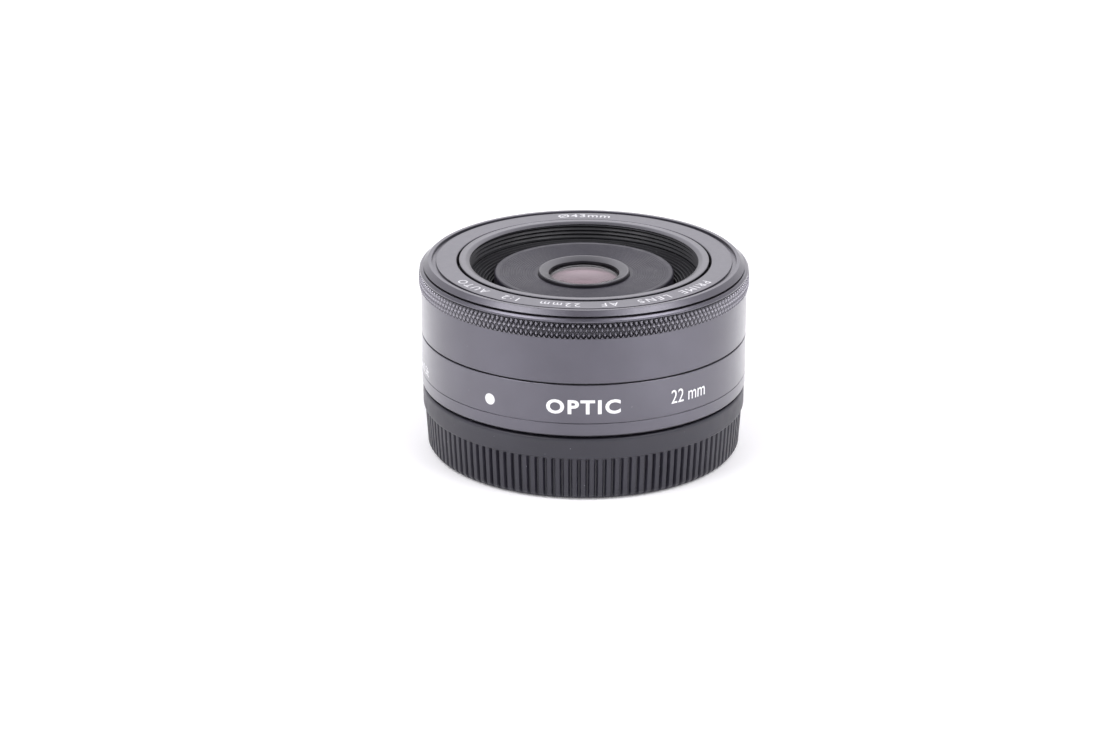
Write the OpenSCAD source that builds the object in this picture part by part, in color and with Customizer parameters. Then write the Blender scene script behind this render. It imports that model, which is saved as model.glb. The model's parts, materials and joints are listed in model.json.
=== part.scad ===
// Pancake prime lens with its rear cap fitted, standing on the cap.
// Origin: centre of the cap's bottom face. +Z runs along the optical axis towards the front.

/* [Overall] */
// Height from the rear cap's bottom to the front of the lens
total_h = 36.2; // [36:0.1:36.6]
// Distance from the mounting flange to the front of the lens
flange_to_front = 23.7; // [23.6:0.05:23.8]
// Diameter over the knurled grip
grip_d = 61.1; // [60.9:0.1:61.4]
// Diameter of the smooth barrels
barrel_d = 60.3; // [60.1:0.1:60.4]

/* [Focus] */
// How far the lens unit moves out between infinity and close focus
focus_travel = 4.6; // [3:0.1:4.8]
// Turn of the cam ring over that travel
cam_turn = 75; // [60:1:80]
// Radius of the three cam follower pins
follower_r = 0.9; // [0.7:0.05:1]

/* [Filter thread] */
// Core radius of the 43 mm filter thread
filter_core_r = 21.1; // [21.05:0.01:21.15]
// Depth of the filter thread
filter_depth = 1.8; // [1.5:0.1:1.9]

/* [Iris] */
// Number of iris blades
blade_count = 7; // [7:1:7]
// Blade turn for each unit of drive ring turn
blade_ratio = 1.5; // [1.4:0.05:1.6]
// Turn of the iris drive ring
iris_turn = 20; // [15:1:20]

/* [Rear cap] */
// Height of the rear cap
cap_h = 12.2; // [12:0.05:12.3]
// Number of grip grooves round the cap
cap_grooves = 120; // [60:10:140]

/* [Mount] */
// Outer radius of the bayonet neck
neck_r = 23.2; // [23:0.05:23.3]
// Outer radius of the bayonet claws
claw_r = 24.7; // [24.4:0.05:24.8]
// Circle radius of the four mount screws
mount_screw_r = 26; // [25.6:0.1:26.2]

/* [Hidden] */
$fn = 96;

// Main heights, measured from the bottom of the cap
top_z = total_h;
flange_z = top_z - flange_to_front;
grip_r = grip_d / 2;
body_r = barrel_d / 2;
focus_top = top_z - 1.25;
focus_bottom = top_z - 13.3;
marked_top = focus_bottom - 0.35;
ring_split = top_z - 21;
barrel_bottom = flange_z + 0.1;

// Fixed sleeve and its floor
sleeve_r = 28.5;
sleeve_in = 27.3;
floor_z = flange_z + 1.5;
floor_top = floor_z + 1.2;
post_r = 21;
post_angles = [90, 210, 330];
guide_floor_z = 21.6;
guide_in = 23;
guide_out = 24;
guide_top = 33.4;

// Cam ring
cam_in = 24.05;
cam_out = 25.35;
cam_bottom = 20.25;
cam_top = 33.3;
follower_z = 25;
follower_angles = [90, 210, 330];
slot_half = follower_r + 0.05;
cam_steps = 8;

// Gear train: stub involute teeth, so that small pinions clear
gear_module = 0.25;
ring_module = 0.3;
addendum = 0.8;
dedendum = 1.1;
gear_backlash = 0.025;
ring_teeth = 164;
drive_teeth = 12;
wheel_2_teeth = 30;
pinion_1_teeth = 10;
wheel_1_teeth = 28;
motor_teeth = 10;
ring_pitch_r = ring_teeth * ring_module / 2;
gear_2_r = ring_pitch_r - drive_teeth * ring_module / 2;
gear_2_angle = 150;
gear_2_pos = polar(gear_2_r, gear_2_angle);
gear_gap_12 = (wheel_2_teeth + pinion_1_teeth) * gear_module / 2;
gear_1_r = 19.5;
gear_1_angle = gear_2_angle + gap_angle(gear_2_r, gear_1_r, gear_gap_12);
gear_1_pos = polar(gear_1_r, gear_1_angle);
gear_gap_m1 = (wheel_1_teeth + motor_teeth) * gear_module / 2;
motor_r = 16.9;
motor_angle = gear_1_angle + gap_angle(gear_1_r, motor_r, gear_gap_m1);
motor_pos = polar(motor_r, motor_angle);
plate_z = 17.8;
plate_top = 18.3;
level_1 = 18.4;
level_2 = 19.3;
level_3 = 20.3;
tooth_h = 0.8;
ear_1_pos = polar(23.4, 132);
ear_2_pos = polar(23.4, 191);

// Lens unit
unit_out = 22.9;
web_z = 22.6;
web_top = 23.6;
cell_r = 12.3;
lens_fn = 400;

// Iris
iris_open_r = 5.6;
blade_in = 5.7;
blade_out = 8.4;
blade_pivot_r = 9.6;
blade_pin_r = 0.35;
blade_t = 0.08;
blade_pitch = 0.12;
blade_z = 24.05;
blade_reach = 118;
drive_pin_r = 9.3;
drive_pin_angle = -12;
iris_ring_z = 24.95;
iris_ring_t = 0.4;
iris_gear_r = 13.6;
iris_teeth = 10;
iris_motor_angle = 90;
iris_motor_r = iris_gear_r + iris_teeth * gear_module / 2;
iris_cover_z = 25.45;
iris_screw_angles = [30, 150, 270];
iris_screw_r = 13.8;

// ---- Helpers ----
function polar(r, a) = [r * cos(a), r * sin(a)];
function gap_angle(r1, r2, d) = acos((r1 * r1 + r2 * r2 - d * d) / (2 * r1 * r2));
function direction(from, to) = atan2(to[1] - from[1], to[0] - from[0]);
function involute(a) = tan(a) * 180 / PI - a;
function turned(p, a) = [p[0] * cos(a) - p[1] * sin(a), p[0] * sin(a) + p[1] * cos(a)];
function sag(radius, r) = radius - sqrt(radius * radius - r * r);

// Half the angle that a tooth covers at radius r
function tooth_half(r, teeth, m, slack) =
    let (pitch = teeth * m / 2, base = pitch * cos(20), a = r > base ? acos(base / r) : 0)
    90 / teeth + involute(20) - involute(a) - slack / pitch * 180 / PI;

// Outline of an external gear, a tooth centred on angle 0
function gear_points(teeth, m, slack) =
    let (pitch = teeth * m / 2, root = pitch - dedendum * m, tip = pitch + addendum * m)
    [for (k = [0:teeth - 1])
        for (s = [[root, -1], [pitch - 0.3 * m, -1], [pitch + 0.25 * m, -1], [tip, -1],
                  [tip, 1], [pitch + 0.25 * m, 1], [pitch - 0.3 * m, 1], [root, 1]])
            polar(s[0], 360 * k / teeth + s[1] * tooth_half(s[0], teeth, m, slack))];

module gear(teeth, m, h, slack = gear_backlash) {
    linear_extrude(h) polygon(gear_points(teeth, m, slack));
}

// A round shell from an outline of radius and height
module turned_shape(points) {
    rotate_extrude($fn = 128) polygon(points);
}

module tube(r_out, r_in, z0, z1) {
    turned_shape([[r_in, z0], [r_out, z0], [r_out, z1], [r_in, z1]]);
}

module at(p, z = 0) {
    translate([p[0], p[1], z]) children();
}

// Pan-head screw with a cross recess, head above z and shank below it
module screw(head_r, head_h, shank_r, shank_l) {
    difference() {
        union() {
            cylinder(r = head_r, h = head_h);
            translate([0, 0, -shank_l]) cylinder(r = shank_r, h = shank_l + 0.01);
        }
        translate([-head_r * 0.65, -0.12, head_h - 0.25]) cube([head_r * 1.3, 0.24, 0.5]);
        translate([-0.12, -head_r * 0.65, head_h - 0.25]) cube([0.24, head_r * 1.3, 0.5]);
    }
}

// Lens element: front and back vertices and signed radii, positive when the centre lies behind the surface
module element(r, z_front, r_front, z_back, r_back) {
    hi = r_front > 0 ? z_front : z_front + sag(-r_front, r);
    lo = r_back > 0 ? z_back - sag(r_back, r) : z_back;
    difference() {
        intersection() {
            translate([0, 0, lo]) cylinder(r = r, h = hi - lo);
            if (r_front > 0) translate([0, 0, z_front - r_front]) sphere(r = r_front, $fn = lens_fn);
            if (r_back < 0) translate([0, 0, z_back - r_back]) sphere(r = -r_back, $fn = lens_fn);
        }
        if (r_front < 0) translate([0, 0, z_front - r_front]) sphere(r = -r_front, $fn = lens_fn);
        if (r_back > 0) translate([0, 0, z_back - r_back]) sphere(r = r_back, $fn = lens_fn);
    }
}

// ---- Rear cap ----
module rear_cap() {
    color("#26262a") {
        difference() {
            turned_shape([[0, 0], [28.4, 0], [28.95, 0.25], [29.2, 0.8], [29.6, 5.6], [30, cap_h - 3.6],
                [30, cap_h - 0.25], [29.8, cap_h], [25.3, cap_h], [25.3, 1.6], [0, 1.6]]);
            translate([0, 0, -0.1]) linear_extrude(cap_h - 3.95) grip_cutter();
        }
        for (a = [60, 180, 300])
            rotate([0, 0, a - 20]) rotate_extrude(angle = 40) polygon([[23.7, 9.9], [25.4, 9.9], [25.4, 11.2],
                [23.7, 11.2]]);
    }
}

// Ring-shaped cutter whose inner edge reaches in at each grip groove
module grip_cutter() {
    pitch = 360 / cap_grooves;
    difference() {
        circle(r = 31);
        polygon([for (k = [0:cap_grooves - 1])
            for (s = [[30.8, -0.34], [30.8, 0.34], [28.8, 0.4], [28.8, 0.6]])
                polar(s[0], (k + s[1]) * pitch)]);
    }
}

// ---- Mount ----
module lens_mount() {
    color("#9a9a9e") {
        difference() {
            turned_shape([[21.6, 7], [neck_r, 7], [neck_r, flange_z], [28.6, flange_z], [28.6, floor_z],
                [21.6, floor_z]]);
            for (a = [45:90:315])
                at(polar(mount_screw_r, a), flange_z - 0.1) mount_screw_hole();
            at(polar(26.9, 0), flange_z - 0.1) cylinder(r = 1.1, h = 1.2);
        }
        for (a = [0, 120, 240])
            rotate([0, 0, a - 24]) rotate_extrude(angle = 48) polygon([[neck_r - 0.1, 7.9], [claw_r, 7.9],
                [claw_r, 9.2], [neck_r - 0.1, 9.4]]);
    }
}

module mount_screw_hole() {
    cylinder(r = 0.9, h = 2);
    cylinder(r = 1.5, h = 0.7);
}

module mount_screws() {
    color("#3c3c40")
        for (a = [45:90:315])
            at(polar(mount_screw_r, a), flange_z + 0.6) mirror([0, 0, 1]) screw(1.45, 0.55, 0.8, 1.9);
}

// ---- Fixed shells ----
module rear_ring() {
    color("#3b3b3f")
        turned_shape([[28.65, barrel_bottom], [body_r - 0.35, barrel_bottom], [body_r, barrel_bottom + 0.35],
            [body_r, ring_split - 0.05], [body_r - 0.1, ring_split], [28.65, ring_split]]);
}

module outer_barrel() {
    color("#3b3b3f")
        turned_shape([[28.55, ring_split + 0.01], [body_r - 0.1, ring_split + 0.01], [body_r, ring_split + 0.1],
            [body_r, marked_top - 0.1], [body_r - 0.1, marked_top], [29.35, marked_top], [29.35, 21],
            [28.55, 20.5]]);
}

module fixed_barrel() {
    color("#2a2a2d")
        difference() {
            union() {
                turned_shape([[21.8, floor_z], [sleeve_r, floor_z], [sleeve_r, top_z - 1.2],
                    [sleeve_in, top_z - 1.2], [sleeve_in, floor_top], [21.8, floor_top]]);
                for (a = post_angles)
                    at(polar(post_r, a)) fixed_post();
                for (p = [ear_1_pos, ear_2_pos])
                    at(p, floor_z) cylinder(r = 1.5, h = plate_z - floor_z);
            }
            for (a = [45:90:315])
                at(polar(mount_screw_r, a), floor_z - 0.1) cylinder(r = 0.8, h = 1.1);
            for (a = post_angles)
                at(polar(post_r, a), guide_floor_z - 3) cylinder(r = 0.6, h = 3.1);
            for (p = [ear_1_pos, ear_2_pos])
                at(p, plate_z - 2) cylinder(r = 0.5, h = 2.1);
            for (a = [20, 300])
                at(polar(24.6, a), floor_top - 0.9) cylinder(r = 0.5, h = 1);
            for (a = [250, 262])
                rotate([0, 0, a]) translate([26, -1.5, 21.2]) cube([4, 3, 2.2]);
        }
}

module fixed_post() {
    translate([0, 0, floor_z]) cylinder(r = 2.1, h = floor_top - floor_z);
    translate([0, 0, floor_z]) cylinder(r = 1.6, h = guide_floor_z - floor_z);
}

module name_ring() {
    color("#8a8a90")
        turned_shape([[23.45, top_z - 1.3], [23.45, top_z - 0.35], [23.65, top_z - 0.15], [27.5, top_z - 0.15],
            [27.5, top_z - 0.5], [28.1, top_z - 0.5], [28.2, top_z], [28.6, top_z], [29.72, top_z - 0.92],
            [29.72, top_z - 1], [sleeve_r, top_z - 1], [sleeve_r, top_z - 1.2], [27.25, top_z - 1.2],
            [27.25, top_z - 2.4], [26.5, top_z - 2.4], [26.5, top_z - 1.3]]);
}

module focus_ring() {
    band_top = top_z - 2;
    band_bottom = top_z - 5;
    color("#343438")
        difference() {
            turned_shape([[28.6, 21.6], [29.1, 21.6], [29.1, focus_bottom], [body_r - 0.1, focus_bottom],
                [body_r, focus_bottom + 0.1], [body_r, band_bottom], [grip_r, band_bottom + 0.05],
                [grip_r, band_top - 0.05], [grip_r - 0.5, band_top], [grip_r - 0.5, band_top + 0.15],
                [grip_r - 0.15, band_top + 0.2], [grip_r - 0.1, top_z - 1.65], [29.95, focus_top],
                [28.6, focus_top]]);
            translate([0, 0, 21.5]) linear_extrude(1) comb_cutter();
        }
}

// Notches in the lip under the focus ring, which the ring sensors count
module comb_cutter() {
    notches = 48;
    for (k = [0:notches - 1])
        rotate(360 * k / notches) translate([28.3, -0.9]) square([1.1, 1.8]);
}

module friction_washer() {
    color("#17171a") tube(29.7, 29.2, marked_top + 0.02, focus_bottom - 0.02);
}

module ring_sensors() {
    color("#101012")
        for (a = [250, 262])
            rotate([0, 0, a]) translate([26.4, -1.4, 21.4]) cube([1.9, 2.8, 1.8]);
}

// ---- Inside the mount ----
module rear_cover() {
    color("#18181a")
        difference() {
            turned_shape([[0, 8.8], [21.35, 8.8], [21.35, 13.9], [20.9, 13.9], [20.9, 9.8], [0, 9.8]]);
            translate([-12, -8.5, 8]) cube([24, 17, 3]);
            for (a = [234, 306])
                at(polar(19.2, a), 8) cylinder(r = 0.55, h = 3);
        }
}

module contact_block() {
    color("#1d1d20")
        rotate([0, 0, 230])
            difference() {
                rotate_extrude(angle = 80) polygon([[17.3, 7.2], [21.2, 7.2], [21.2, 8.8], [17.3, 8.8]]);
                for (k = [0:8])
                    at(polar(19.2, 13.6 + 6.6 * k), 7) cylinder(r = 0.75, h = 2);
                for (a = [4, 76])
                    at(polar(19.2, a), 7) cylinder(r = 0.65, h = 2);
            }
}

module contact_pins() {
    color("gold")
        rotate([0, 0, 230])
            for (k = [0:8])
                at(polar(19.2, 13.6 + 6.6 * k)) contact_pin();
}

module contact_pin() {
    translate([0, 0, 7]) cylinder(r = 0.7, h = 1.75);
    translate([0, 0, 7]) sphere(r = 0.55);
}

module contact_screws() {
    color("#3c3c40")
        for (a = [234, 306])
            at(polar(19.2, a), 7.15) mirror([0, 0, 1]) screw(0.95, 0.4, 0.5, 2.4);
}

// ---- Main board, a C round the motor ----
module main_board() {
    color("#1f5a38")
        difference() {
            rotate([0, 0, 204]) rotate_extrude(angle = 276) polygon([[21.9, floor_top + 0.1],
                [27.1, floor_top + 0.1], [27.1, floor_top + 0.7], [21.9, floor_top + 0.7]]);
            for (a = post_angles)
                at(polar(post_r, a), floor_z) cylinder(r = 1.9, h = 4);
            for (a = [20, 300])
                at(polar(24.6, a), floor_z) cylinder(r = 0.55, h = 4);
        }
}

module board_chips() {
    chips = [[240, 4, 4], [272, 3, 3], [285, 2.2, 1.4], [318, 4.4, 3], [345, 3, 2.2], [5, 1.4, 0.9],
        [40, 3.6, 3.6], [62, 2, 1.2], [112, 2.6, 2]];
    color("#141416")
        for (c = chips)
            rotate([0, 0, c[0]]) translate([24.8 - c[2] / 2, -c[1] / 2, floor_top + 0.7]) cube([c[2], c[1], 0.9]);
}

module board_screws() {
    color("silver")
        for (a = [20, 300])
            at(polar(24.6, a), floor_top + 0.7) screw(1, 0.5, 0.48, 1.4);
}

// ---- Guide barrel ----
module guide_barrel() {
    color("#6f7074")
        difference() {
            turned_shape([[14.2, guide_floor_z], [guide_out, guide_floor_z], [guide_out, guide_top],
                [guide_in, guide_top], [guide_in, 22.4], [14.2, 22.4]]);
            for (a = post_angles)
                at(polar(post_r, a), guide_floor_z - 1) cylinder(r = 0.7, h = 3);
            for (a = post_angles)
                at(polar(post_r, a), 22.1) cylinder(r = 1.3, h = 2);
            for (a = follower_angles)
                rotate([0, 0, a]) guide_slot();
            rotate([0, 0, 40]) translate([12, -3, 20]) cube([4, 6, 4]);
        }
}

// Straight slot along the axis, open through the tube wall
module guide_slot() {
    translate([22, -slot_half, follower_z]) cube([3, 2 * slot_half, focus_travel]);
    for (z = [follower_z, follower_z + focus_travel])
        translate([22, 0, z]) rotate([0, 90, 0]) cylinder(r = slot_half, h = 3);
}

module guide_screws() {
    color("silver")
        for (a = post_angles)
            at(polar(post_r, a), 22.1) screw(1.2, 0.4, 0.58, 2.6);
}

// ---- Cam ring ----
module cam_ring() {
    color("#7d7e82")
        difference() {
            turned_shape([[cam_in, cam_bottom + 1.25], [ring_pitch_r - addendum * ring_module, cam_bottom + 1.15],
                [ring_pitch_r - addendum * ring_module, cam_bottom], [26, cam_bottom], [26, cam_bottom + 1.2],
                [cam_out, cam_bottom + 1.6], [cam_out, cam_top], [cam_in, cam_top]]);
            translate([0, 0, cam_bottom - 0.05]) linear_extrude(1.15) ring_tooth_spaces();
            for (a = follower_angles)
                rotate([0, 0, a]) cam_slot();
        }
}

// Spaces of the internal tooth sector, which are the teeth of a slightly fatter external gear
module ring_tooth_spaces() {
    step = 360 / ring_teeth;
    inner_r = ring_pitch_r - addendum * ring_module - 0.2;
    outer_r = ring_pitch_r + 1.05 * ring_module;
    for (k = [-38:4])
        rotate(gear_2_angle + k * step)
            polygon([for (s = [[inner_r, -1], [outer_r, -1], [outer_r, 1], [inner_r, 1]])
                polar(s[0], s[1] * tooth_half(s[0], ring_teeth, ring_module, -0.03))]);
}

// Cam slot: a helical path made of short straight stretches, each square to the wall at its middle
module cam_slot() {
    step = cam_turn / cam_steps;
    rise = focus_travel / cam_steps;
    mid_r = (cam_in + cam_out) / 2;
    run = mid_r * step * PI / 180;
    slope = atan(rise / run);
    length = sqrt(run * run + rise * rise);
    for (k = [0:cam_steps - 1])
        rotate([0, 0, -(k + 0.5) * step]) translate([mid_r, 0, follower_z + (k + 0.5) * rise])
            rotate([-slope, 0, 0]) cube([2.6, length + 0.25, 2 * slot_half], center = true);
    for (k = [0, cam_steps])
        rotate([0, 0, -k * step]) translate([23.5, 0, follower_z + k * rise])
            rotate([0, 90, 0]) cylinder(r = slot_half, h = 2.6);
}

// ---- Focus drive ----
module focus_motor() {
    color("#8f9095")
        difference() {
            at(motor_pos) {
                translate([0, 0, 10.5]) cylinder(r = 4, h = 7.2);
                translate([0, 0, 10.2]) cylinder(r = 1.2, h = 0.4);
            }
            at(motor_pos, 16) cylinder(r = 0.55, h = 3);
        }
}

module motor_pinion() {
    color("#c9a54a")
        at(motor_pos) {
            translate([0, 0, 16.2]) cylinder(r = 0.5, h = level_1 - 16.1);
            translate([0, 0, level_1])
                rotate([0, 0, direction(motor_pos, gear_1_pos)]) gear(motor_teeth, gear_module, tooth_h);
        }
}

module reduction_gear_1() {
    color("#e8e6de")
        at(gear_1_pos)
            difference() {
                union() {
                    translate([0, 0, level_1])
                        rotate([0, 0, direction(gear_1_pos, motor_pos) + 180 / wheel_1_teeth])
                            gear(wheel_1_teeth, gear_module, tooth_h);
                    translate([0, 0, level_1 + tooth_h - 0.01])
                        rotate([0, 0, direction(gear_1_pos, gear_2_pos)])
                            gear(pinion_1_teeth, gear_module, level_2 + tooth_h - level_1 - tooth_h + 0.01);
                }
                translate([0, 0, level_1 - 1]) cylinder(r = 0.45, h = 5);
            }
}

module reduction_gear_2() {
    color("#e8e6de")
        at(gear_2_pos)
            difference() {
                union() {
                    translate([0, 0, level_2])
                        rotate([0, 0, direction(gear_2_pos, gear_1_pos) + 180 / wheel_2_teeth])
                            gear(wheel_2_teeth, gear_module, tooth_h);
                    translate([0, 0, level_2 + tooth_h - 0.01])
                        rotate([0, 0, gear_2_angle])
                            gear(drive_teeth, ring_module, level_3 + tooth_h + 0.1 - level_2 - tooth_h + 0.01);
                }
                translate([0, 0, level_2 - 1]) cylinder(r = 0.45, h = 5);
            }
}

module gear_shafts() {
    color("silver")
        for (p = [gear_1_pos, gear_2_pos])
            at(p, plate_z) cylinder(r = 0.4, h = guide_floor_z - plate_z - 0.1);
}

module gear_plate() {
    color("#b5b5ba")
        difference() {
            translate([0, 0, plate_z]) linear_extrude(plate_top - plate_z) plate_outline();
            at(motor_pos, plate_z - 1) cylinder(r = 0.6, h = 2);
            for (p = [gear_1_pos, gear_2_pos])
                at(p, plate_z - 1) cylinder(r = 0.4, h = 2);
            for (p = [ear_1_pos, ear_2_pos])
                at(p, plate_z - 1) cylinder(r = 0.6, h = 2);
        }
}

module plate_outline() {
    hull() {
        at(motor_pos) circle(r = 4.1, $fn = 32);
        at(gear_1_pos) circle(r = 2, $fn = 32);
        at(gear_2_pos) circle(r = 2, $fn = 32);
    }
    hull() {
        at(gear_2_pos) circle(r = 2, $fn = 32);
        at(ear_1_pos) circle(r = 1.5, $fn = 32);
    }
    hull() {
        at(motor_pos) circle(r = 2, $fn = 32);
        at(ear_2_pos) circle(r = 1.5, $fn = 32);
    }
}

module plate_screws() {
    color("silver")
        for (p = [ear_1_pos, ear_2_pos])
            at(p, plate_top) screw(1.1, 0.45, 0.48, 2);
}

// ---- Lens unit: barrel, followers and front trim ----
module inner_barrel() {
    thread_bottom = top_z - 0.35 - filter_depth;
    color("#7f7f86")
        difference() {
            union() {
                turned_shape([[12.45, web_z], [unit_out, web_z], [unit_out, top_z], [21.9, top_z],
                    [filter_core_r, top_z - 0.35], [filter_core_r, thread_bottom], [21.4, thread_bottom],
                    [21.4, web_top], [12.45, web_top]]);
                for (a = iris_screw_angles)
                    at(polar(iris_screw_r, a), web_z) cylinder(r = 1.2, h = iris_cover_z - web_z);
            }
            for (a = iris_screw_angles)
                at(polar(iris_screw_r, a), iris_cover_z - 1.6) cylinder(r = 0.45, h = 3);
            for (a = [0, 120, 240])
                at(polar(13.1, a), web_z - 1) cylinder(r = 0.35, h = 1.8);
            for (a = follower_angles)
                rotate([0, 0, a]) translate([21.6, 0, follower_z]) rotate([0, 90, 0]) cylinder(r = follower_r, h = 3);
            rotate([0, 0, 40]) translate([12, -2.6, 20]) cube([4, 5.2, 5]);
        }
}

module cam_followers() {
    color("#c9a54a")
        for (a = follower_angles)
            rotate([0, 0, a]) translate([21.6, 0, follower_z]) rotate([0, 90, 0]) cylinder(r = follower_r, h = 3.65);
}

// Cone of stepped ridges inside the filter thread
module light_trap_ring() {
    ridges = 7;
    outer = 21.3;
    inner = 17.3;
    top = top_z - 3.4;
    drop = 1.5;
    step = (outer - inner) / ridges;
    steps = [for (k = [0:ridges - 1])
        for (s = [[0.02, 0.45], [0.3, 0], [0.55, 0], [0.62, 0.45]])
            [outer - (k + s[0]) * step, top - drop * k / (ridges - 1) - s[1]]];
    color("#1b1b1e")
        turned_shape(concat([[outer, top - 3]], steps, [[inner, top - drop - 0.5], [inner, top - 3]]));
}

module front_cover() {
    color("#4c4c50")
        turned_shape([[8.5, 32.75], [16, 33.15], [16, 31], [16.6, 31], [16.6, top_z - 2.55],
            [16.35, top_z - 2.4], [15.6, top_z - 2.55], [8.5, top_z - 3]]);
}

module nose_ring() {
    color("#3d3d41")
        turned_shape([[6.5, top_z - 3.25], [7.95, top_z - 3.25], [7.95, 32.7], [8.45, 32.7],
            [8.45, top_z - 2.45], [8.2, top_z - 2.3], [7.9, top_z - 2.35], [6.5, top_z - 2.85]]);
}

module front_cell() {
    color("#202024")
        turned_shape([[6.45, 25.85], [12.2, 25.85], [12.2, 26.6], [9.6, 26.6], [9.6, 32.65], [7.95, 32.65],
            [7.95, 30.3], [6.85, 30.3], [6.85, 27.35], [6.45, 27.35]]);
}

module lens_element_1() {
    color([0.75, 0.7, 0.85, 0.4]) element(7.9, 33.55, 30, 30.9, 60);
}

module lens_element_2() {
    color([0.75, 0.8, 0.85, 0.4]) element(6.8, 30.1, 24, 28.9, 16);
}

module lens_element_3() {
    color([0.75, 0.8, 0.85, 0.4]) element(6.4, 28.3, 18, 26.6, 80);
}

module front_spacer() {
    color("#202024") tube(6.8, 6.2, 29.33, 30.4);
}

// ---- Lens unit: rear group ----
module rear_cell() {
    color("#202024")
        difference() {
            turned_shape([[10.25, 12], [cell_r, 12], [cell_r, 21.7], [13.9, 21.7], [13.9, web_z - 0.02],
                [cell_r, web_z - 0.02], [cell_r, 23.5], [6.65, 23.5], [6.65, 19.3], [8.65, 19.3], [8.65, 14.4],
                [10.25, 14.4]]);
            for (a = [0, 120, 240])
                at(polar(13.1, a), 21) cylinder(r = 0.4, h = 2);
            rotate([0, 0, 40]) translate([11.6, -2.6, 20]) cube([4, 5.2, 5]);
        }
}

module lens_element_4() {
    color([0.75, 0.8, 0.85, 0.4]) element(6.6, 21.9, -15, 21.2, 20);
}

module lens_element_5() {
    color([0.75, 0.8, 0.85, 0.4]) element(6.6, 21.2, 20, 18.2, -16);
}

module lens_element_6() {
    color([0.75, 0.8, 0.85, 0.4]) element(8.6, 17.3, -20, 16.2, -40);
}

// Moulded element with an aspheric back
module lens_element_7() {
    r = 10.2;
    steps = 16;
    back = [for (k = [0:steps]) let (x = r * k / steps) [x, 12.6 + x * x / 130 + 0.00001 * x * x * x * x]];
    color([0.75, 0.8, 0.85, 0.4])
        intersection() {
            rotate_extrude($fn = 128) polygon(concat(back, [[r, 16], [0, 16]]));
            translate([0, 0, 15.2 - 40]) sphere(r = 40, $fn = lens_fn);
        }
}

module rear_spacer() {
    color("#202024") tube(8.6, 7.8, 14.55, 16.9);
}

module rear_retainer() {
    color("#26262a")
        difference() {
            tube(10.2, 9.2, 12.05, 13.25);
            for (a = [0, 180])
                rotate([0, 0, a]) translate([8, -0.5, 11.9]) cube([3, 1, 0.6]);
        }
}

module cell_screws() {
    color("silver")
        for (a = [0, 120, 240])
            at(polar(13.1, a), 21.7) mirror([0, 0, 1]) screw(0.6, 0.35, 0.33, 1.6);
}

// ---- Iris ----
module iris_base() {
    color("#2b2b2e")
        difference() {
            union() {
                tube(12.3, iris_open_r, web_top, 24);
                tube(12.3, 11.6, web_top, iris_cover_z);
            }
            for (k = [0:blade_count - 1])
                at(polar(blade_pivot_r, 360 * k / blade_count), 23) cylinder(r = blade_pin_r + 0.05, h = 2);
            rotate([0, 0, iris_motor_angle - 32]) rotate_extrude(angle = 64) polygon([[11, 24.4], [13, 24.4],
                [13, 26], [11, 26]]);
        }
}

// Place of a drive pin in the drive ring's frame, for a ring turn a
function drive_pin(a) =
    let (pivot = [blade_pivot_r, 0], start = polar(drive_pin_r, drive_pin_angle) - pivot)
    turned(pivot + turned(start, blade_ratio * a), -a);

// Outline of the slot that a drive pin runs in: both sides of its path, and a round end at each end
module drive_slot() {
    steps = 6;
    half = blade_pin_r + 0.06;
    path = [for (k = [0:steps]) drive_pin(iris_turn * k / steps)];
    side = [for (k = [0:steps])
        direction(path[max(k - 1, 0)], path[min(k + 1, steps)]) + 90];
    polygon(concat([for (k = [0:steps]) path[k] + polar(half, side[k])],
        [for (j = [1:7]) path[steps] + polar(half, side[steps] - j * 22.5)],
        [for (k = [steps:-1:0]) path[k] - polar(half, side[k])],
        [for (j = [1:7]) path[0] + polar(half, side[0] - 180 - j * 22.5)]));
}

module iris_ring() {
    sector = iris_turn + 14;
    color("#55565a")
        translate([0, 0, iris_ring_z])
            linear_extrude(iris_ring_t)
                difference() {
                    union() {
                        circle(r = 11.2);
                        rotate(iris_motor_angle - sector + 7)
                            polygon(concat([[0, 0]], [for (k = [0:12]) polar(12.9, sector * k / 12)]));
                        iris_sector_teeth(sector);
                    }
                    circle(r = 6.4);
                    for (k = [0:blade_count - 1])
                        rotate(360 * k / blade_count) drive_slot();
                }
}

// Teeth on the arm of the drive ring, spaced as on a full gear of the same pitch
module iris_sector_teeth(sector) {
    teeth = round(2 * iris_gear_r / gear_module);
    m = 2 * iris_gear_r / teeth;
    step = 360 / teeth;
    first = -floor((sector - 8) / step);
    for (k = [first:floor(6 / step)])
        rotate(iris_motor_angle + (k + 0.5) * step)
            polygon([for (s = [[12.7, -1], [iris_gear_r - 0.6 * m, -1], [iris_gear_r + addendum * m, -1],
                               [iris_gear_r + addendum * m, 1], [iris_gear_r - 0.6 * m, 1], [12.7, 1]])
                polar(s[0], s[1] * tooth_half(max(s[0], iris_gear_r - m), teeth, m, gear_backlash))]);
}

module iris_cover() {
    color("#2b2b2e")
        translate([0, 0, iris_cover_z])
            linear_extrude(0.35)
                difference() {
                    union() {
                        circle(r = 12.2);
                        for (a = iris_screw_angles)
                            rotate(a) translate([11, -1.2]) square([iris_screw_r - 11, 2.4]);
                        for (a = iris_screw_angles)
                            translate(polar(iris_screw_r, a)) circle(r = 1.2);
                        translate(polar(iris_motor_r, iris_motor_angle)) circle(r = 2.6);
                        rotate(iris_motor_angle) translate([11, -2]) square([3, 4]);
                    }
                    circle(r = 5.9);
                    translate(polar(iris_motor_r, iris_motor_angle)) circle(r = 0.6);
                    for (a = iris_screw_angles)
                        translate(polar(iris_screw_r, a)) circle(r = 0.5);
                }
}

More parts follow.
